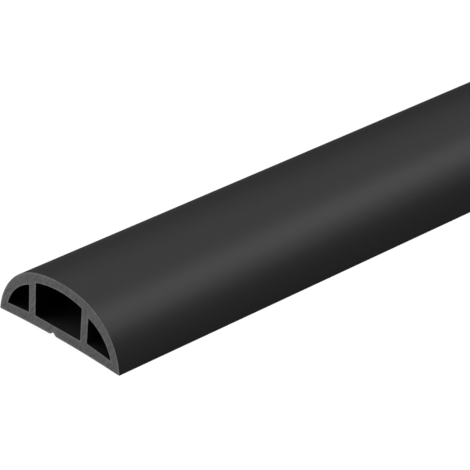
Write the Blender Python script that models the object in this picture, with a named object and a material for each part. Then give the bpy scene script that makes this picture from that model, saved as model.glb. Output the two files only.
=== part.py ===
"""Floor cord cover: one extruded length of flexible PVC with three cord channels.

The section lies in the XZ plane. X is across the cover, Z is up and the length runs
along Y. The origin is on the floor, under the middle of the cover.
"""

import math
from collections import namedtuple

import bmesh
import bpy
from mathutils import Vector
from mathutils.geometry import intersect_line_sphere_2d

# Driving dimensions, in metres and radians. The width is over the feet's sharp corners.
LENGTH = 0.9144
WIDTH = 0.0762
HEIGHT = 0.0290

# The dome is a three-centre arch: a flat crown between two tighter shoulders.
CROWN_RADIUS = 0.0630
SHOULDER_RADIUS = 0.0308

# The underside arches off the floor between two bearing lands along its edges.
LAND_WIDTH = 0.0021
UNDERSIDE_RISE = 0.0012

# The V groove under the centre channel marks where a knife slits the base.
GROOVE_LEFT_X = -0.0056
GROOVE_APEX_X = -0.0041
GROOVE_RIGHT_X = -0.0020
GROOVE_APEX_Z = 0.0030

# The webs stand between the channels. A lean is positive where the top goes to +X.
WEB_THICKNESS = 0.0043
WEB_MIDDLE_Z = 0.0130
LEFT_WEB_X = -0.0172
LEFT_WEB_LEAN = math.radians(0.3)
RIGHT_WEB_X = 0.01575
RIGHT_WEB_LEAN = math.radians(2.5)

# The centre channel has a flat floor and an arched roof.
CENTRE_FLOOR_Z = 0.0062
CENTRE_ROOF_Z = 0.0244
CENTRE_ROOF_RADIUS = 0.0493

# Each side channel has a floor that falls towards the foot and a roof that is one arc.
SIDE_ROOF_X = 0.0110
SIDE_ROOF_Z = -0.0020
LEFT_ROOF_RADIUS = 0.0230
RIGHT_ROOF_RADIUS = 0.0225
LEFT_FLOOR_AT_WEB_Z = 0.0061
RIGHT_FLOOR_AT_WEB_Z = 0.0067
SIDE_FLOOR_AT_FOOT_Z = 0.0049
SIDE_CHANNEL_FOOT_X = 0.0330

# Corners are rounded by the die, and arcs are cut into chords this close to them.
CORNER_RADIUS = 0.0003
CORNER_SEGMENTS = 3
CHORD_ERROR = 0.00002
SMOOTH_ANGLE = math.radians(25)

Circle = namedtuple("Circle", "centre radius")
Outline = namedtuple("Outline", "points corners")


def circle(x, z, radius):
    """A circle of the section, which is drawn as 2D points (x, z)."""
    return Circle(Vector((x, z)), radius)


def arc(on, start, end):
    """Points from start to end along the upper side of a circle, both ends included."""
    first, last = (math.atan2(*(point - on.centre)) for point in (start, end))
    chord_angle = 2 * math.acos(1 - CHORD_ERROR / on.radius)
    steps = math.ceil(abs(last - first) / chord_angle)
    angles = (first + (last - first) * i / steps for i in range(steps + 1))
    return [on.centre + on.radius * Vector((math.sin(a), math.cos(a))) for a in angles]


def crossing(start, end, on):
    """Where the straight line through start and end crosses a circle, nearest to end."""
    hits = intersect_line_sphere_2d(start, end, on.centre, on.radius, False)
    return min(hits, key=lambda hit: (hit - end).length)


def dome():
    """The arch of the outer skin, from the left foot to the right foot."""
    left_foot, right_foot = Vector((-WIDTH / 2, 0)), Vector((WIDTH / 2, 0))
    crown = circle(0, HEIGHT - CROWN_RADIUS, CROWN_RADIUS)

    # The shoulder touches the crown arc at the joint and passes through the foot.
    offset = CROWN_RADIUS - SHOULDER_RADIUS
    reach = right_foot - crown.centre
    cosine = (reach.length**2 + offset**2 - SHOULDER_RADIUS**2) / (2 * offset * reach.length)
    joint_angle = math.atan2(*reach) - math.acos(cosine)
    along = Vector((math.sin(joint_angle), math.cos(joint_angle)))
    shoulder = crown.centre + offset * along
    joint = crown.centre + CROWN_RADIUS * along

    left_shoulder = circle(-shoulder.x, shoulder.y, SHOULDER_RADIUS)
    right_shoulder = circle(shoulder.x, shoulder.y, SHOULDER_RADIUS)
    left_joint = Vector((-joint.x, joint.y))
    return (
        arc(left_shoulder, left_foot, left_joint)
        + arc(crown, left_joint, joint)[1:]
        + arc(right_shoulder, joint, right_foot)[1:]
    )


def underside_arc():
    """The circle that the arched underside follows between its two lands."""
    half_span = WIDTH / 2 - LAND_WIDTH
    radius = (half_span**2 + UNDERSIDE_RISE**2) / (2 * UNDERSIDE_RISE)
    return circle(0, UNDERSIDE_RISE - radius, radius)


def outer_outline():
    """The closed outline of the section: the dome, the two lands and the underside."""
    half_span = WIDTH / 2 - LAND_WIDTH
    under = underside_arc()
    lips = [
        crossing(Vector((x, 0)), Vector((x, UNDERSIDE_RISE)), under)
        for x in (GROOVE_RIGHT_X, GROOVE_LEFT_X)
    ]
    skin = dome()
    right_run = arc(under, Vector((half_span, 0)), lips[0])
    left_run = arc(under, lips[1], Vector((-half_span, 0)))
    apex = Vector((GROOVE_APEX_X, GROOVE_APEX_Z))
    corners = [skin[0], skin[-1], right_run[-1], left_run[0]]
    return Outline([*skin, *right_run, apex, *left_run], corners)


def web_faces(x, lean):
    """The left and right face of a web, each as a point low down and a point high up."""
    slope = math.tan(lean)
    half = WEB_THICKNESS / 2
    return [
        tuple(Vector((x + side + slope * (z - WEB_MIDDLE_Z), z)) for z in (0, HEIGHT))
        for side in (-half, half)
    ]


def at_height(face, z):
    """The point of a web's face at height z."""
    low, high = face
    return low.lerp(high, (z - low.y) / (high.y - low.y))


def centre_channel(left_face, right_face):
    """The middle channel, from the left web's right face to the right web's left face."""
    middle_x = (left_face[1].x + right_face[1].x) / 2
    roof = circle(middle_x, CENTRE_ROOF_Z - CENTRE_ROOF_RADIUS, CENTRE_ROOF_RADIUS)
    roof_line = arc(roof, crossing(*left_face, roof), crossing(*right_face, roof))
    floor = [at_height(right_face, CENTRE_FLOOR_Z), at_height(left_face, CENTRE_FLOOR_Z)]
    return Outline(roof_line + floor, [roof_line[0], roof_line[-1], *floor])


def side_channel(face, floor_at_web_z, roof_radius, side):
    """A channel between a web and the skin. side is -1 for the left one, 1 for the right."""
    roof = circle(side * SIDE_ROOF_X, SIDE_ROOF_Z, roof_radius)
    web_foot = at_height(face, floor_at_web_z)
    floor_end = Vector((side * SIDE_CHANNEL_FOOT_X, SIDE_FLOOR_AT_FOOT_Z))
    roof_line = arc(roof, crossing(*face, roof), crossing(web_foot, floor_end, roof))
    return Outline([*roof_line, web_foot], [roof_line[0], roof_line[-1], web_foot])


def section_outlines():
    """The outer outline, then the three channels from left to right."""
    left_web = web_faces(LEFT_WEB_X, LEFT_WEB_LEAN)
    right_web = web_faces(RIGHT_WEB_X, RIGHT_WEB_LEAN)
    return [
        outer_outline(),
        side_channel(left_web[0], LEFT_FLOOR_AT_WEB_Z, LEFT_ROOF_RADIUS, -1),
        centre_channel(left_web[1], right_web[0]),
        side_channel(right_web[1], RIGHT_FLOOR_AT_WEB_Z, RIGHT_ROOF_RADIUS, 1),
    ]


def draw(bm, outline):
    """Adds an outline to the mesh as a closed ring of edges, with its corners rounded."""
    y = -LENGTH / 2
    ring = [bm.verts.new((point.x, y, point.y)) for point in outline.points]
    for start, end in zip(ring, ring[1:] + ring[:1]):
        bm.edges.new((start, end))
    sharp = [ring[outline.points.index(corner)] for corner in outline.corners]
    bmesh.ops.bevel(
        bm,
        geom=sharp,
        offset=CORNER_RADIUS,
        offset_type="OFFSET",
        segments=CORNER_SEGMENTS,
        profile=0.5,
        affect="VERTICES",
        material=-1,
    )


def extruded_section():
    """The section filled between its outline and its channels, then drawn out along Y."""
    bm = bmesh.new()
    for outline in section_outlines():
        draw(bm, outline)
    bmesh.ops.triangle_fill(bm, use_beauty=True, use_dissolve=False, edges=bm.edges[:])
    far_end = bmesh.ops.extrude_face_region(bm, geom=bm.faces[:], use_keep_orig=True)
    moved = [item for item in far_end["geom"] if isinstance(item, bmesh.types.BMVert)]
    bmesh.ops.translate(bm, vec=(0, LENGTH, 0), verts=moved)
    bmesh.ops.recalc_face_normals(bm, faces=bm.faces[:])
    mesh = bpy.data.meshes.new("cord_cover")
    bm.to_mesh(mesh)
    bm.free()
    mesh.shade_smooth()
    mesh.set_sharp_from_angle(angle=SMOOTH_ANGLE)
    return mesh


def black_pvc():
    """Flexible PVC in charcoal black, with the low sheen of an extruded surface."""
    material = bpy.data.materials.new("black_pvc")
    material.use_nodes = True
    shader = material.node_tree.nodes["Principled BSDF"]
    shader.inputs["Base Color"].default_value = (0.036, 0.036, 0.037, 1.0)
    shader.inputs["Roughness"].default_value = 0.5
    shader.inputs["Metallic"].default_value = 0.0
    return material


def build_cord_cover():
    """The whole cover, which is one piece."""
    mesh = extruded_section()
    mesh.materials.append(black_pvc())
    cover = bpy.data.objects.new("cord_cover", mesh)
    bpy.context.scene.collection.objects.link(cover)
    return cover


def main():
    for old in list(bpy.data.objects):
        bpy.data.objects.remove(old)
    build_cord_cover()


if __name__ == "__main__":
    main()
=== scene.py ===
"""Floor cord cover: the extruded strip with its finishes, on a pale studio floor.

Laid out as an add-on and run as a script. The section lies in the XZ plane and the strip
runs along Y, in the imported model's own frame.
"""

import math
from collections import namedtuple

import bmesh
import bpy
from bpy.props import FloatProperty, FloatVectorProperty, IntProperty, PointerProperty
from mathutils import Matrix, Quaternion, Vector
from mathutils.bvhtree import BVHTree
from mathutils.geometry import delaunay_2d_cdt, intersect_line_sphere_2d


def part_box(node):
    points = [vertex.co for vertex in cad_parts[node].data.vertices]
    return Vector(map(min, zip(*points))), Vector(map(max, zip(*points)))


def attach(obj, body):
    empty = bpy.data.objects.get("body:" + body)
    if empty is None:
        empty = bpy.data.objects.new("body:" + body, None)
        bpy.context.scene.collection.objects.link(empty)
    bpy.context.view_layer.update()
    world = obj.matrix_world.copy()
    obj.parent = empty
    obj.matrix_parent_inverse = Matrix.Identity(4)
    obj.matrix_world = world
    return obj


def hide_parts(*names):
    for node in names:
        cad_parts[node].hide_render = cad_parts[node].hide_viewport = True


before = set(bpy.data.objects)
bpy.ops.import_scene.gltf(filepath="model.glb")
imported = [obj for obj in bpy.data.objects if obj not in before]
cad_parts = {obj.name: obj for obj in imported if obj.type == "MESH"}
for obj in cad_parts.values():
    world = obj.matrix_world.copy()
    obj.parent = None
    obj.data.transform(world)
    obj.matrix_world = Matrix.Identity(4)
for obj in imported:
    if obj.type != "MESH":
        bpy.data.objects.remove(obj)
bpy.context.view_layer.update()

bl_info = {
    "name": "Floor Cord Cover",
    "version": (1, 0, 0),
    "blender": (4, 5, 0),
    "location": "3D View > Sidebar > Cord Cover",
    "description": "Adds an extruded floor cord cover with cord channels, and a studio stage",
    "category": "Add Mesh",
}

NODE = "cord_cover"
BODY = "root"
LOW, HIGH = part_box(NODE)

# Points no farther apart than this, in metres, count as one
SAME_PLACE = 1e-6

# Sides of the cover, and the material slots of the strip in order
LEFT, RIGHT = range(2)
SKIN, CHANNEL_WALL, CUT_END = range(3)

# The attribute that holds how near each point is to a cut edge, which the cut ends use for the
# blade's smoother burnish and for a painted highlight along the edge
BURNISH_AND_PAINTED_HIGHLIGHT = "burnish_and_painted_highlight"

# The kind of triangulation that leaves out what lies inside the channels
WITHOUT_HOLES = 2

# The sockets of a Mix node that hold its two colours and the mixed one
MIX_FIRST, MIX_SECOND, MIX_RESULT = 6, 7, 2

Circle = namedtuple("Circle", "centre radius")
Softbox = namedtuple("Softbox", "name azimuth elevation distance spread strength")

# Round soft lights as seen from the strip: where each stands and the angle that it fills in
# degrees, its distance in metres, and the light that falls on a surface facing it in watts
# per square metre
SOFTBOXES = (
    Softbox("key_softbox", azimuth=-60, elevation=43, distance=0.8, spread=60, strength=1.63),
    Softbox("front_softbox", azimuth=-5, elevation=22, distance=1.7, spread=30, strength=0.57),
    Softbox("right_softbox", azimuth=95, elevation=8, distance=1.0, spread=50, strength=0.32),
    Softbox("flank_softbox", azimuth=120, elevation=50, distance=1.5, spread=35, strength=0.85),
    Softbox("crown_softbox", azimuth=165, elevation=45, distance=1.2, spread=22, strength=0.29),
    Softbox("back_softbox", azimuth=-150, elevation=55, distance=3.0, spread=65, strength=0.52),
    Softbox("far_end_softbox", azimuth=180, elevation=10, distance=1.6, spread=25, strength=0.20),
)


class SectionSettings(bpy.types.PropertyGroup):
    """Sizes of the extruded section."""

    length: FloatProperty(
        name="Length",
        description="Length of the strip along Y",
        default=HIGH.y - LOW.y,
        unit="LENGTH",
    )
    width: FloatProperty(
        name="Width",
        description="Width over the feet, before their corners are rounded",
        default=0.0762,
        unit="LENGTH",
    )
    height: FloatProperty(
        name="Height",
        description="Height of the dome above the floor",
        default=HIGH.z - LOW.z,
        unit="LENGTH",
    )
    crown_radius: FloatProperty(
        name="Crown radius",
        description="Radius of the flat arc along the top of the dome",
        default=0.0630,
        unit="LENGTH",
    )
    shoulder_radius: FloatProperty(
        name="Shoulder radius",
        description="Radius of the arc from the crown down to each foot",
        default=0.0308,
        unit="LENGTH",
    )
    land_width: FloatProperty(
        name="Land width",
        description="Width of the flat strip that bears on the floor along each edge",
        default=0.0021,
        unit="LENGTH",
    )
    underside_rise: FloatProperty(
        name="Underside rise",
        description="How far the underside arches off the floor",
        default=0.0012,
        unit="LENGTH",
    )
    groove_lips: FloatVectorProperty(
        name="Groove lips",
        description="Where the groove's left and right lip stand across the underside",
        default=(-0.0056, -0.0020),
        size=2,
        unit="LENGTH",
    )
    groove_apex: FloatVectorProperty(
        name="Groove apex",
        description="Place across the cover and height of the groove's apex",
        default=(-0.0041, 0.0030),
        size=2,
        unit="LENGTH",
    )
    web_thickness: FloatProperty(
        name="Web thickness",
        description="Thickness of the two walls between the channels",
        default=0.0043,
        unit="LENGTH",
    )
    web_places: FloatVectorProperty(
        name="Web places",
        description="Where the left and right web stand across the cover, at mid height",
        default=(-0.0172, 0.01575),
        size=2,
        unit="LENGTH",
    )
    web_leans: FloatVectorProperty(
        name="Web leans",
        description="Lean of the left and right web, positive where the top goes to the right",
        default=(math.radians(0.3), math.radians(2.5)),
        size=2,
        unit="ROTATION",
    )
    web_middle: FloatProperty(
        name="Web middle",
        description="Height at which the webs' places are measured",
        default=0.0130,
        unit="LENGTH",
    )
    centre_floor: FloatProperty(
        name="Centre floor",
        description="Height of the centre channel's floor",
        default=0.0062,
        unit="LENGTH",
    )
    centre_roof: FloatProperty(
        name="Centre roof",
        description="Height of the centre channel's roof at its middle",
        default=0.0244,
        unit="LENGTH",
    )
    centre_roof_radius: FloatProperty(
        name="Centre roof radius",
        description="Radius of the centre channel's arched roof",
        default=0.0493,
        unit="LENGTH",
    )
    side_roof_centre: FloatVectorProperty(
        name="Side roof centre",
        description="Distance from the middle and height of a side roof's centre of curvature",
        default=(0.0110, -0.0020),
        size=2,
        unit="LENGTH",
    )
    side_roof_radii: FloatVectorProperty(
        name="Side roof radii",
        description="Radius of the left and right channel's roof",
        default=(0.0230, 0.0225),
        size=2,
        unit="LENGTH",
    )
    side_floors_at_web: FloatVectorProperty(
        name="Side floors at the web",
        description="Height of the left and right channel's floor where it meets the web",
        default=(0.0061, 0.0067),
        size=2,
        unit="LENGTH",
    )
    side_floor_foot: FloatVectorProperty(
        name="Side floor foot",
        description="Distance from the middle and height to which each side floor falls",
        default=(0.0330, 0.0049),
        size=2,
        unit="LENGTH",
    )
    corner_radius: FloatProperty(
        name="Corner radius",
        description="Rounding that the die leaves in every corner of the section",
        default=0.0003,
        unit="LENGTH",
    )
    corner_segments: IntProperty(
        name="Corner segments",
        description="Number of chords in each rounded corner",
        default=5,
        min=1,
    )
    arc_step: FloatProperty(
        name="Arc step",
        description="Largest angle that one chord of an arc turns through",
        default=math.radians(1.5),
        unit="ROTATION",
    )
    underside_step: FloatProperty(
        name="Underside step",
        description="Largest angle that one chord of the flat underside turns through",
        default=math.radians(0.375),
        unit="ROTATION",
    )


class CutSettings(bpy.types.PropertyGroup):
    """How the ends are cut and how the strip's mesh is divided along its length."""

    edge_radius: FloatProperty(
        name="Edge radius",
        description="Rounding of the edges where the ends are cut",
        default=0.0001,
        unit="LENGTH",
    )
    edge_segments: IntProperty(
        name="Edge segments",
        description="Number of chords in each rounded cut edge",
        default=3,
        min=1,
    )
    # The paler rim along each cut edge is a painted highlight; the blade's burnish only makes it
    # smoother.
    burnish_and_painted_highlight_width: FloatProperty(
        name="Burnish width",
        description="Width of the paler rim that the blade leaves along each cut edge",
        default=0.0010,
        unit="LENGTH",
    )
    grid_step: FloatProperty(
        name="Grid step",
        description="Distance between the points inside the cut ends",
        default=0.0004,
        unit="LENGTH",
    )
    end_margin: FloatProperty(
        name="End margin",
        description="Distance from a cut edge to the first division of the strip",
        default=0.0003,
        unit="LENGTH",
    )
    divisions: IntProperty(
        name="Divisions",
        description="Number of equal lengths that the strip is divided into",
        default=24,
        min=1,
    )
    sharp_angle: FloatProperty(
        name="Sharp angle",
        description="Edges that turn by more than this are shaded sharp",
        default=math.radians(35),
        unit="ROTATION",
    )


class FinishSettings(bpy.types.PropertyGroup):
    """Colours and surface relief of the flexible PVC."""

    skin_colour: FloatVectorProperty(
        name="Skin colour",
        description="Charcoal black of the extruded outer skin",
        default=(0.0142, 0.0142, 0.0142),
        size=3,
        subtype="COLOR",
    )
    channel_colour: FloatVectorProperty(
        name="Channel colour",
        description="Black of the channel walls, which are darker in the side channels",
        default=(0.020, 0.020, 0.020),
        size=3,
        subtype="COLOR",
    )
    # The channel walls carry painted light and shade: palest at one place across the cover and
    # darkest in the side channels.
    painted_light_place: FloatProperty(
        name="Palest place",
        description="Where across the cover the channel walls are palest",
        default=0.010,
        unit="LENGTH",
    )
    painted_light_reach: FloatProperty(
        name="Fade width",
        description="Distance from the palest place at which the channel walls are darkest",
        default=0.023,
        unit="LENGTH",
    )
    cut_colour: FloatVectorProperty(
        name="Cut colour",
        description="Matte grey of the cut ends",
        default=(0.212, 0.212, 0.212),
        size=3,
        subtype="COLOR",
    )
    skin_mottle: FloatProperty(
        name="Skin mottle",
        description="Share by which the mottle darkens and lightens the skin at most",
        default=0.08,
        min=0.0,
        max=1.0,
        subtype="FACTOR",
    )
    cut_mottle: FloatProperty(
        name="Cut mottle",
        description="Share by which the blade's marks darken and lighten the cut ends at most",
        default=0.9,
        min=0.0,
        max=1.0,
        subtype="FACTOR",
    )
    skin_roughness: FloatProperty(
        name="Skin roughness",
        description="Mean roughness of the outer skin",
        default=0.48,
        min=0.0,
        max=1.0,
        subtype="FACTOR",
    )
    skin_relief: FloatProperty(
        name="Skin relief",
        description="Depth of the fine lines that the die leaves along the strip",
        default=0.00004,
        precision=6,
        unit="LENGTH",
    )
    cut_relief: FloatProperty(
        name="Cut relief",
        description="Depth of the blade's marks on the cut ends",
        default=0.00006,
        precision=6,
        unit="LENGTH",
    )
    blade_slant: FloatProperty(
        name="Blade slant",
        description="Slant of the blade's marks, turned about the strip's length",
        default=math.radians(-33),
        unit="ROTATION",
    )


class StageSettings(bpy.types.PropertyGroup):
    """The floor, the lights and the camera."""

    floor_size: FloatProperty(
        name="Floor size",
        description="Side of the square floor",
        default=60.0,
        unit="LENGTH",
    )
    floor_colour: FloatVectorProperty(
        name="Floor colour",
        description="Colour that the floor takes from the lights",
        default=(0.06, 0.06, 0.06),
        size=3,
        subtype="COLOR",
    )
    floor_glow: FloatVectorProperty(
        name="Floor glow",
        description="Even light that the floor shows to the camera, which makes it white",
        default=(0.98, 0.98, 0.98),
        size=3,
        subtype="COLOR",
    )
    floor_share: FloatProperty(
        name="Floor share",
        description="Share of the floor's glow that the strip gets",
        default=0.12,
        min=0.0,
        max=1.0,
        subtype="FACTOR",
    )
    azimuth: FloatProperty(
        name="Azimuth",
        description="Angle of the camera round the strip, from straight on at its near end",
        default=math.radians(43.89),
        unit="ROTATION",
    )
    elevation: FloatProperty(
        name="Elevation",
        description="Angle of the camera above the floor",
        default=math.radians(28.58),
        unit="ROTATION",
    )
    roll: FloatProperty(
        name="Roll",
        description="Turn of the camera about its line of sight, anticlockwise from behind it",
        default=math.radians(2.62),
        unit="ROTATION",
    )
    lens: FloatProperty(
        name="Lens",
        description="Focal length in millimetres, on a sensor 36 mm wide",
        default=240.7,
    )
    look_at: FloatVectorProperty(
        name="Look at",
        description="Point that the camera looks at, measured from the near end's base",
        default=(0.0004, 0.1053, 0.0145),
        size=3,
        unit="LENGTH",
    )
    distance: FloatProperty(
        name="Distance",
        description="Distance from the camera to the point that it looks at",
        default=1.4049,
        unit="LENGTH",
    )


class CoverSettings(bpy.types.PropertyGroup):
    """Everything that a user would change."""

    section: PointerProperty(type=SectionSettings)
    cut: PointerProperty(type=CutSettings)
    finish: PointerProperty(type=FinishSettings)
    stage: PointerProperty(type=StageSettings)


class Ring:
    """A closed outline in the XZ plane, drawn as wire edges by extruding and spinning."""

    def __init__(self, bm, start):
        self.bm = bm
        self.tip = bm.verts.new((start.x, 0, start.y))
        self.first = self.tip
        self.sharp = []

    def corner(self):
        """Marks the point that the ring has reached as a corner to be rounded."""
        self.sharp.append(self.tip)
        return self

    def line_to(self, point):
        """A straight edge to a point."""
        made = bmesh.ops.extrude_vert_indiv(self.bm, verts=[self.tip])
        self.tip = made["verts"][0]
        self.tip.co = (point.x, 0, point.y)
        return self

    def arc_to(self, point, centre, step):
        """An arc about a centre, by the shorter way round."""
        tip = Vector((self.tip.co.x, self.tip.co.z))
        first, last = (math.atan2(*(end - centre)) for end in (tip, point))
        turn = last - first
        made = bmesh.ops.spin(
            self.bm,
            geom=[self.tip],
            cent=(centre.x, 0, centre.y),
            axis=(0, 1, 0),
            dvec=(0, 0, 0),
            angle=turn,
            steps=math.ceil(abs(turn) / step),
            use_merge=False,
            use_normal_flip=False,
            use_duplicate=False,
        )
        self.tip = next(v for v in made["geom_last"] if isinstance(v, bmesh.types.BMVert))
        return self

    def close(self, radius, segments):
        """Closes the ring with a straight edge and rounds its corners."""
        self.bm.edges.new((self.tip, self.first))
        bmesh.ops.bevel(
            self.bm,
            geom=self.sharp,
            offset=radius,
            offset_type="OFFSET",
            segments=segments,
            profile=0.5,
            affect="VERTICES",
            material=-1,
        )


def crossing(start, end, circle):
    """Where the straight line through start and end crosses a circle, nearest to end."""
    hits = intersect_line_sphere_2d(start, end, circle.centre, circle.radius, False)
    return min(hits, key=lambda hit: (hit - end).length)


def at_height(face, z):
    """The point of a web's face at height z."""
    low, high = face
    return low.lerp(high, (z - low.y) / (high.y - low.y))


def web_faces(size, side):
    """The left and right face of a web, each as a point low down and a point high up."""
    slope = math.tan(size.web_leans[side])
    half = size.web_thickness / 2
    return [
        tuple(
            Vector((size.web_places[side] + edge + slope * (z - size.web_middle), z))
            for z in (0, size.height)
        )
        for edge in (-half, half)
    ]


def draw_outer_ring(bm, size):
    """The dome between its feet, the two lands and the arched underside with its groove."""
    foot = Vector((size.width / 2, 0))
    land = foot - Vector((size.land_width, 0))
    crown = Vector((0, size.height - size.crown_radius))

    # The shoulder touches the crown arc at the joint and passes through the foot.
    offset = size.crown_radius - size.shoulder_radius
    reach = foot - crown
    cosine = (reach.length**2 + offset**2 - size.shoulder_radius**2) / (
        2 * offset * reach.length
    )
    joint_angle = math.atan2(*reach) - math.acos(cosine)
    along = Vector((math.sin(joint_angle), math.cos(joint_angle)))
    shoulder = crown + offset * along
    joint = crown + size.crown_radius * along

    under_radius = (land.x**2 + size.underside_rise**2) / (2 * size.underside_rise)
    under = Circle(Vector((0, size.underside_rise - under_radius)), under_radius)
    left_lip, right_lip = (
        crossing(Vector((x, 0)), Vector((x, size.underside_rise)), under)
        for x in size.groove_lips
    )

    mirror = Vector((-1, 1))
    ring = Ring(bm, foot * mirror).corner()
    ring.arc_to(joint * mirror, shoulder * mirror, size.arc_step)
    ring.arc_to(joint, crown, size.arc_step)
    ring.arc_to(foot, shoulder, size.arc_step).corner()
    ring.line_to(land)
    ring.arc_to(right_lip, under.centre, size.underside_step).corner()
    ring.line_to(Vector(size.groove_apex))
    ring.line_to(left_lip).corner()
    ring.arc_to(land * mirror, under.centre, size.underside_step)
    ring.close(size.corner_radius, size.corner_segments)


def draw_centre_channel(bm, size):
    """The middle channel, with an arched roof and a flat floor between the webs."""
    left = web_faces(size, LEFT)[1]
    right = web_faces(size, RIGHT)[0]
    middle = (left[1].x + right[1].x) / 2
    roof = Circle(
        Vector((middle, size.centre_roof - size.centre_roof_radius)),
        size.centre_roof_radius,
    )
    ring = Ring(bm, crossing(*left, roof)).corner()
    ring.arc_to(crossing(*right, roof), roof.centre, size.arc_step).corner()
    ring.line_to(at_height(right, size.centre_floor)).corner()
    ring.line_to(at_height(left, size.centre_floor)).corner()
    ring.close(size.corner_radius, size.corner_segments)


def draw_side_channel(bm, size, side):
    """A channel between a web and the skin, on the left or right side."""
    outward = Vector((2 * side - 1, 1))
    face = web_faces(size, side)[side]
    roof = Circle(Vector(size.side_roof_centre) * outward, size.side_roof_radii[side])
    web_foot = at_height(face, size.side_floors_at_web[side])
    tip = crossing(web_foot, Vector(size.side_floor_foot) * outward, roof)
    ring = Ring(bm, crossing(*face, roof)).corner()
    ring.arc_to(tip, roof.centre, size.arc_step).corner()
    ring.line_to(web_foot).corner()
    ring.close(size.corner_radius, size.corner_segments)


def draw_walls(bm, size, length):
    """Draws each ring and its walls along Y. The rings stay open at both ends."""
    rings = (
        (SKIN, draw_outer_ring, ()),
        (CHANNEL_WALL, draw_side_channel, (LEFT,)),
        (CHANNEL_WALL, draw_centre_channel, ()),
        (CHANNEL_WALL, draw_side_channel, (RIGHT,)),
    )
    for material, draw_ring, side in rings:
        older = set(bm.faces)
        draw_ring(bm, size, *side)
        wire = [edge for edge in bm.edges if edge.is_wire]
        made = bmesh.ops.extrude_edge_only(bm, edges=wire)
        moved = [item for item in made["geom"] if isinstance(item, bmesh.types.BMVert)]
        bmesh.ops.translate(bm, vec=(0, length, 0), verts=moved)
        for face in set(bm.faces) - older:
            face.material_index = material


def grid_over_section(size, step):
    """The points of a square grid over the section's box, as (x, z)."""
    half_columns = math.ceil(size.width / 2 / step)
    rows = math.ceil(size.height / step)
    return [
        (column * step, row * step)
        for column in range(-half_columns, half_columns + 1)
        for row in range(rows + 1)
    ]


def open_rings(bm, y):
    """The open rings at y, each as its vertices in order round the ring."""
    sides = {}
    for edge in bm.edges:
        if edge.is_boundary and abs(edge.verts[0].co.y - y) < SAME_PLACE:
            for vert in edge.verts:
                sides.setdefault(vert, []).append(edge.other_vert(vert))
    rings = []
    while sides:
        here = next(iter(sides))
        ring = []
        while here in sides:
            ring.append(here)
            beside = sides.pop(here)
            here = next((vert for vert in beside if vert in sides), here)
        rings.append(ring)
    return rings


def distance_to(walls, place):
    """How far a place is from the nearest wall."""
    *_, distance = walls.find_nearest(place)
    return distance


def fill_end(bm, y, walls, size, cut):
    """Fills an end between its rings, with a grid of points inside. Returns the faces."""
    rings = open_rings(bm, y)
    verts = [vert for ring in rings for vert in ring]
    place = {vert: i for i, vert in enumerate(verts)}
    outlines = [[place[vert] for vert in ring] for ring in rings]
    for x, z in grid_over_section(size, cut.grid_step):
        if distance_to(walls, (x, y, z)) > cut.grid_step / 2:
            verts.append(bm.verts.new((x, y, z)))
    flat = [Vector((vert.co.x, vert.co.z)) for vert in verts]
    _, _, triangles, sources, *_ = delaunay_2d_cdt(
        flat, [], outlines, WITHOUT_HOLES, SAME_PLACE
    )
    end = [
        bm.faces.new([verts[sources[corner][0]] for corner in triangle])
        for triangle in triangles
    ]
    for face in end:
        face.material_index = CUT_END
    unused = [vert for vert in verts if not vert.link_faces]
    bmesh.ops.delete(bm, geom=unused, context="VERTS")
    return end


def inset(bm, end, inward, out):
    """Insets an end and moves it out. Returns the faces of the new rim."""
    made = bmesh.ops.inset_region(
        bm,
        faces=end,
        thickness=inward,
        depth=out,
        use_boundary=True,
        use_even_offset=True,
    )
    return made["faces"]


def round_cut_edges(bm, end, cut):
    """Rounds the edges of an end. The rounding takes the finish of the walls behind it."""
    turns = [math.pi / 2 * i / cut.edge_segments for i in range(cut.edge_segments + 1)]
    steps = [
        (math.cos(here) - math.cos(there), math.sin(there) - math.sin(here))
        for here, there in zip(turns, turns[1:])
    ]
    for inward, out in steps:
        rim = inset(bm, end, cut.edge_radius * inward, cut.edge_radius * out)
        for face in rim:
            behind = {near for edge in face.edges for near in edge.link_faces}
            (wall,) = behind.difference(rim, end)
            face.material_index = wall.material_index


def mark_burnish_and_painted_highlight(bm, walls, cut):
    """Marks how near each vertex is to the walls, where the cut ends get a smoother burnish and a
    painted highlight along their edges.
    """
    burnish_and_painted_highlight = bm.verts.layers.float.new(BURNISH_AND_PAINTED_HIGHLIGHT)
    for vert in bm.verts:
        share = distance_to(walls, vert.co) / cut.burnish_and_painted_highlight_width
        vert[burnish_and_painted_highlight] = max(0.0, 1.0 - share)


def divide(bm, start, length, cut):
    """Divides the walls at equal stations, and once close behind each end."""
    stations = [start + cut.end_margin, start + length - cut.end_margin]
    stations += [start + length * i / cut.divisions for i in range(1, cut.divisions)]
    for y in stations:
        bmesh.ops.bisect_plane(
            bm,
            geom=bm.verts[:] + bm.edges[:] + bm.faces[:],
            dist=SAME_PLACE,
            plane_co=(0, y, 0),
            plane_no=(0, 1, 0),
        )


def strip_mesh(size, cut):
    """The whole strip: walls drawn out from the rings and closed by two cut ends."""
    bm = bmesh.new()
    start = LOW.y + cut.edge_radius
    length = size.length - 2 * cut.edge_radius
    draw_walls(bm, size, length)
    bmesh.ops.translate(bm, vec=(0, start, 0), verts=bm.verts[:])
    walls = BVHTree.FromBMesh(bm)
    ends = [fill_end(bm, y, walls, size, cut) for y in (start, start + length)]
    bmesh.ops.recalc_face_normals(bm, faces=bm.faces[:])
    for face in bm.faces:
        face.smooth = True
    for end in ends:
        round_cut_edges(bm, end, cut)
    mark_burnish_and_painted_highlight(bm, walls, cut)
    divide(bm, start, length, cut)
    mesh = bpy.data.meshes.new("extruded_cover")
    bm.to_mesh(mesh)
    bm.free()
    mesh.set_sharp_from_angle(angle=cut.sharp_angle)
    return mesh


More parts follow.
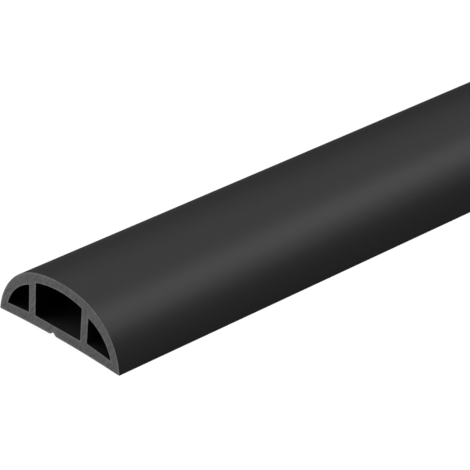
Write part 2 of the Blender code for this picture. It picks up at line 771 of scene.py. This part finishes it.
class Value:
    """A shader socket in Python arithmetic. Each operation adds a Math node."""

    def __init__(self, shader, socket):
        self.shader = shader
        self.socket = socket

    def math(self, operation, first, second):
        """Adds a Math node for two numbers or sockets."""
        return self.shader.add(
            "ShaderNodeMath", {"operation": operation}, {0: first, 1: second}
        )

    def __add__(self, other):
        return self.math("ADD", self, other)

    def __radd__(self, other):
        return self.math("ADD", other, self)

    def __sub__(self, other):
        return self.math("SUBTRACT", self, other)

    def __rsub__(self, other):
        return self.math("SUBTRACT", other, self)

    def __mul__(self, other):
        return self.math("MULTIPLY", self, other)

    def __rmul__(self, other):
        return self.math("MULTIPLY", other, self)


class Shader:
    """The nodes of one material with a Principled surface."""

    def __init__(self, name, constants):
        self.material = bpy.data.materials.new(name)
        self.material.use_nodes = True
        self.tree = self.material.node_tree
        self.surface = self.tree.nodes["Principled BSDF"]
        self.feed(self.surface, constants)

    def feed(self, node, inputs):
        """Links or sets a node's inputs, by name or place."""
        for key, value in inputs.items():
            if isinstance(value, Value):
                self.tree.links.new(value.socket, node.inputs[key])
            else:
                node.inputs[key].default_value = value

    def add(self, kind, settings, inputs, output=0):
        """Adds a node of a kind, with its settings first, and returns one output."""
        node = self.tree.nodes.new(kind)
        for name, setting in settings.items():
            setattr(node, name, setting)
        self.feed(node, inputs)
        return Value(self, node.outputs[output])

    def place(self, stretch, turn=(0, 0, 0)):
        """Object coordinates, turned and then stretched, in pattern cells per metre."""
        where = self.add("ShaderNodeTexCoord", {}, {}, "Object")
        turned = self.add("ShaderNodeMapping", {}, {"Vector": where, "Rotation": turn})
        return self.add("ShaderNodeMapping", {}, {"Vector": turned, "Scale": stretch})

    def noise(self, stretch, turn=(0, 0, 0), detail=2.0):
        """Noise from 0 to 1, with that many cells per metre along each axis."""
        where = self.place(stretch, turn)
        return self.add(
            "ShaderNodeTexNoise", {}, {"Vector": where, "Scale": 1.0, "Detail": detail}
        )

    def mix_colours(self, factor, first, second):
        """A colour between two others."""
        return self.add(
            "ShaderNodeMix",
            {"data_type": "RGBA"},
            {"Factor": factor, MIX_FIRST: (*first, 1.0), MIX_SECOND: (*second, 1.0)},
            MIX_RESULT,
        )

    def relief(self, height, depth):
        """Bumps the surface by a height from 0 to 1 times a depth in metres."""
        normal = self.add("ShaderNodeBump", {}, {"Height": height, "Distance": depth})
        self.feed(self.surface, {"Normal": normal})


def shade(colour, share):
    """A colour made lighter or darker by a share."""
    return tuple(part * share for part in colour)


def skin_pvc(finish):
    """Satin charcoal skin, with fine lines along the strip and a soft mottle."""
    shader = Shader("skin_pvc", {"Specular IOR Level": 0.5})
    cloud = shader.noise((22, 9, 22))
    streaks = shader.noise((420, 1.5, 420))
    lines = shader.noise((1500, 4, 1500), detail=3.0)
    grain = shader.noise((4200, 3400, 4200))
    tone = 0.7 * cloud + 0.3 * streaks
    base = finish.skin_colour
    darker, lighter = (shade(base, 1 + part * finish.skin_mottle) for part in (-1, 1))
    colour = shader.mix_colours(tone, darker, lighter)

    # A noise averages one half, so half of both weights is taken off.
    roughness = finish.skin_roughness - 0.05 + 0.06 * streaks + 0.04 * grain
    shader.feed(shader.surface, {"Base Color": colour, "Roughness": roughness})
    shader.relief(0.6 * lines + 0.4 * grain, finish.skin_relief)
    return shader.material


def channel_pvc(finish):
    """Black channel walls with the die's lines along them, with painted light towards the right
    of the middle channel and painted shade in the side channels.
    """
    shader = Shader("channel_pvc", {"Specular IOR Level": 0.2})
    lines = shader.noise((900, 3, 900), detail=3.0)
    # Painted light and shade: the walls grow darker with distance across the cover from the
    # palest place.
    where = shader.add("ShaderNodeTexCoord", {}, {}, "Object")
    across = shader.add("ShaderNodeSeparateXYZ", {}, {"Vector": where}, "X")
    fade = (across - finish.painted_light_place) * (1 / finish.painted_light_reach)
    tone = 0.75 - fade * fade + 0.3 * lines
    base = finish.channel_colour
    colour = shader.mix_colours(tone, shade(base, 0.1), shade(base, 1.2))
    shader.feed(shader.surface, {"Base Color": colour, "Roughness": 0.5 + 0.15 * lines})
    shader.relief(lines, finish.skin_relief)
    return shader.material


def cut_pvc(finish):
    """Matte grey cut ends, with a blade's slanting marks, and a rim that is smoother from the
    blade and paler from a painted highlight.
    """
    shader = Shader("cut_pvc", {"Specular IOR Level": 0.25})
    slant = (0, finish.blade_slant, 0)
    marks = shader.noise((1700, 500, 260), slant, detail=3.0)
    blotches = shader.noise((420, 420, 420), detail=3.0)
    grain = shader.noise((1250, 1250, 1250), detail=1.0)
    speckle = shader.noise((4500, 4500, 4500), detail=1.0)
    # The rim lowers the roughness for the blade's burnish and lightens the colour as a painted
    # highlight along the cut edges.
    rim = shader.add("ShaderNodeAttribute", {"attribute_name": BURNISH_AND_PAINTED_HIGHLIGHT}, {}, "Fac")
    mottle = 0.55 * marks + 0.05 * blotches + 0.35 * grain + 0.15 * speckle

    # The weights add up to 1.1, so the tone averages one half away from the rim. Near the rim the
    # tone rises as a painted highlight.
    tone = mottle - 0.05 + 0.34 * rim
    base = finish.cut_colour
    darker, lighter = (shade(base, 1 + part * finish.cut_mottle) for part in (-1, 1))
    colour = shader.mix_colours(tone, darker, lighter)
    roughness = 0.86 - 0.1 * marks - 0.12 * rim
    shader.feed(shader.surface, {"Base Color": colour, "Roughness": roughness})
    shader.relief(0.4 * marks + 0.2 * blotches + 0.4 * grain, finish.cut_relief)
    return shader.material


class MESH_OT_add_extruded_cover(bpy.types.Operator):
    """Adds the extruded strip in place of the plain solid"""

    bl_idname = "mesh.add_extruded_cover"
    bl_label = "Extruded Cover"
    bl_options = {"REGISTER", "UNDO"}

    def execute(self, context):
        cover = context.scene.cord_cover
        strip = bpy.data.objects.new("extruded_cover", strip_mesh(cover.section, cover.cut))
        context.scene.collection.objects.link(strip)
        for finish in (skin_pvc, channel_pvc, cut_pvc):
            strip.data.materials.append(finish(cover.finish))
        evened = strip.modifiers.new("flat_walls", "WEIGHTED_NORMAL")
        evened.keep_sharp = True
        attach(strip, BODY)
        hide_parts(NODE)
        return {"FINISHED"}


def add_floor(scene, stage):
    """A plain floor that the camera sees as white, while it lights the strip only a little."""
    bm = bmesh.new()
    bmesh.ops.create_grid(bm, x_segments=1, y_segments=1, size=stage.floor_size / 2)
    mesh = bpy.data.meshes.new("floor")
    bm.to_mesh(mesh)
    bm.free()
    shader = Shader(
        "pale_floor",
        {
            "Base Color": (*stage.floor_colour, 1.0),
            "Roughness": 0.9,
            "Specular IOR Level": 0.0,
            "Emission Strength": 1.0,
        },
    )
    seen = shader.add("ShaderNodeLightPath", {}, {}, "Is Camera Ray")
    shared = shade(stage.floor_glow, stage.floor_share)
    glow = shader.mix_colours(seen, shared, stage.floor_glow)
    shader.feed(shader.surface, {"Emission Color": glow})
    mesh.materials.append(shader.material)
    floor = bpy.data.objects.new("floor", mesh)
    scene.collection.objects.link(floor)


def facing(azimuth, elevation):
    """The direction from the strip towards an azimuth and elevation."""
    flat = math.cos(elevation)
    return Vector(
        (math.sin(azimuth) * flat, -math.cos(azimuth) * flat, math.sin(elevation))
    )


def add_softbox(scene, softbox, target):
    """A round soft light that faces a target point and stays out of every picture."""
    half_spread = math.radians(softbox.spread) / 2
    light = bpy.data.lights.new(softbox.name, "AREA")
    light.shape = "DISK"
    light.size = 2 * softbox.distance * math.tan(half_spread)
    light.energy = math.pi * softbox.strength * (softbox.distance / math.cos(half_spread)) ** 2
    lamp = bpy.data.objects.new(softbox.name, light)
    back = facing(math.radians(softbox.azimuth), math.radians(softbox.elevation))
    lamp.location = target + back * softbox.distance
    lamp.rotation_mode = "QUATERNION"
    lamp.rotation_quaternion = back.to_track_quat("Z", "Y")
    lamp.visible_camera = False
    scene.collection.objects.link(lamp)


def add_backdrop(scene):
    """White all round behind the floor. It is only seen, and lights nothing."""
    world = bpy.data.worlds.new("white_backdrop")
    world.use_nodes = True
    tree = world.node_tree
    background = tree.nodes["Background"]
    background.inputs["Color"].default_value = (1.0, 1.0, 1.0, 1.0)
    path = tree.nodes.new("ShaderNodeLightPath")
    tree.links.new(path.outputs["Is Camera Ray"], background.inputs["Strength"])
    scene.world = world


def add_camera(scene, stage, target):
    """The camera that sees the near end and its right flank, turned a little on its axis."""
    data = bpy.data.cameras.new("camera")
    data.lens = stage.lens
    camera = bpy.data.objects.new("camera", data)
    back = facing(stage.azimuth, stage.elevation)
    camera.location = target + back * stage.distance
    camera.rotation_mode = "QUATERNION"
    camera.rotation_quaternion = Quaternion(back, stage.roll) @ back.to_track_quat("Z", "Y")
    scene.collection.objects.link(camera)
    scene.camera = camera


class SCENE_OT_add_cover_stage(bpy.types.Operator):
    """Adds the floor, the lights and the camera"""

    bl_idname = "scene.add_cover_stage"
    bl_label = "Studio Stage"
    bl_options = {"REGISTER", "UNDO"}

    def execute(self, context):
        scene = context.scene
        stage = scene.cord_cover.stage
        target = Vector((0, LOW.y, LOW.z)) + Vector(stage.look_at)
        add_floor(scene, stage)
        add_backdrop(scene)
        for softbox in SOFTBOXES:
            add_softbox(scene, softbox, target)
        add_camera(scene, stage, target)
        scene.view_settings.view_transform = "Standard"
        return {"FINISHED"}


class VIEW3D_PT_cord_cover(bpy.types.Panel):
    """Lists the operators and the settings"""

    bl_label = "Cord Cover"
    bl_space_type = "VIEW_3D"
    bl_region_type = "UI"
    bl_category = "Cord Cover"

    def draw(self, context):
        for operator in (MESH_OT_add_extruded_cover, SCENE_OT_add_cover_stage):
            self.layout.operator(operator.bl_idname)
        cover = context.scene.cord_cover
        for group in (cover.section, cover.cut, cover.finish, cover.stage):
            box = self.layout.box()
            for name in group.bl_rna.properties.keys():
                if name not in ("rna_type", "name"):
                    box.prop(group, name)


CLASSES = (
    SectionSettings,
    CutSettings,
    FinishSettings,
    StageSettings,
    CoverSettings,
    MESH_OT_add_extruded_cover,
    SCENE_OT_add_cover_stage,
    VIEW3D_PT_cord_cover,
)


def register():
    for cls in CLASSES:
        bpy.utils.register_class(cls)
    bpy.types.Scene.cord_cover = PointerProperty(type=CoverSettings)


def unregister():
    del bpy.types.Scene.cord_cover
    for cls in reversed(CLASSES):
        bpy.utils.unregister_class(cls)


def main():
    register()
    bpy.ops.mesh.add_extruded_cover()
    bpy.ops.scene.add_cover_stage()


if __name__ == "__main__":
    main()
